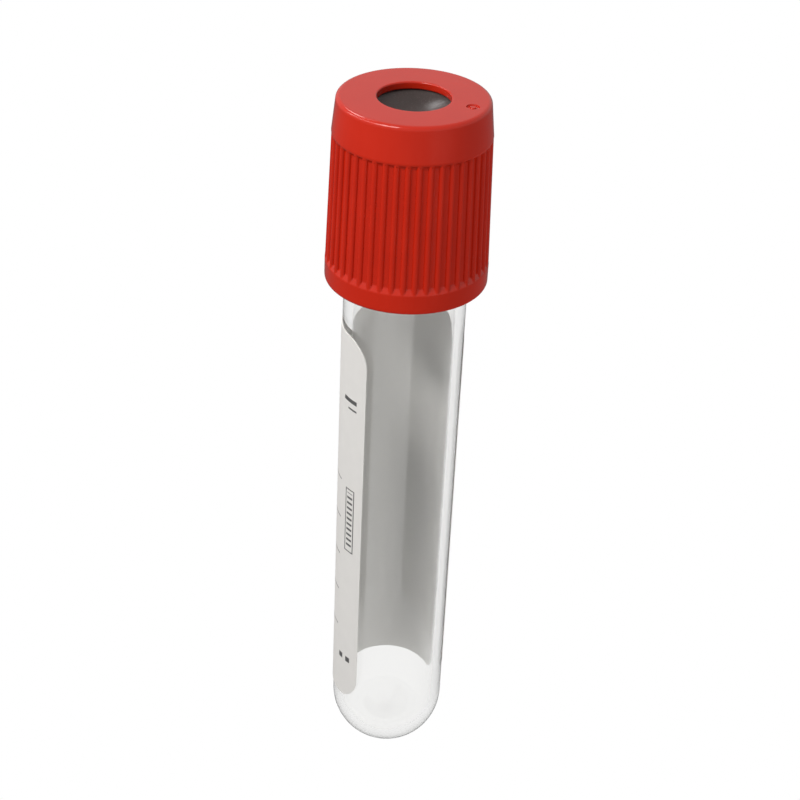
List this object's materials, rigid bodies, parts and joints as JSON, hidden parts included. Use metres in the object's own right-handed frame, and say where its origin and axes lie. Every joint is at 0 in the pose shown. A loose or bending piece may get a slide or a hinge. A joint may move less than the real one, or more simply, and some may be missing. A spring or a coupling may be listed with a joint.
{
  "type": "blood collection tube",
  "caption": "Evacuated blood collection tube, 13 x 75 mm, clear with a round end and a wrapped paper label, closed by a ribbed shield over a rubber stopper.",
  "frame": {"origin": "centre of the closure's flat face, which the tube stands on", "axes": "+Z along the tube's axis, up from the closure to the round end; +Y towards the middle of the label, and -Y towards the clear strip between its edges"},
  "size_m": [0.017, 0.017, 0.0815],
  "materials": {
    "tube": "clear moulded plastic, polished",
    "label": "white paper, satin, printed with plain black rules",
    "stopper": "dark grey-brown rubber, satin",
    "shield": "red moulded plastic, soft gloss"
  },
  "bodies": {
    "closure": {"rubber_stopper": "stopper", "closure_shield": "shield"},
    "tube": {"tube": "tube", "paper_label": "label"}
  },
  "joints": [
    {"name": "tube_pull", "type": "slide", "parent": "closure", "child": "tube", "axis": [0, 0, 1], "range_m": [0, 0.035]}
  ]
}
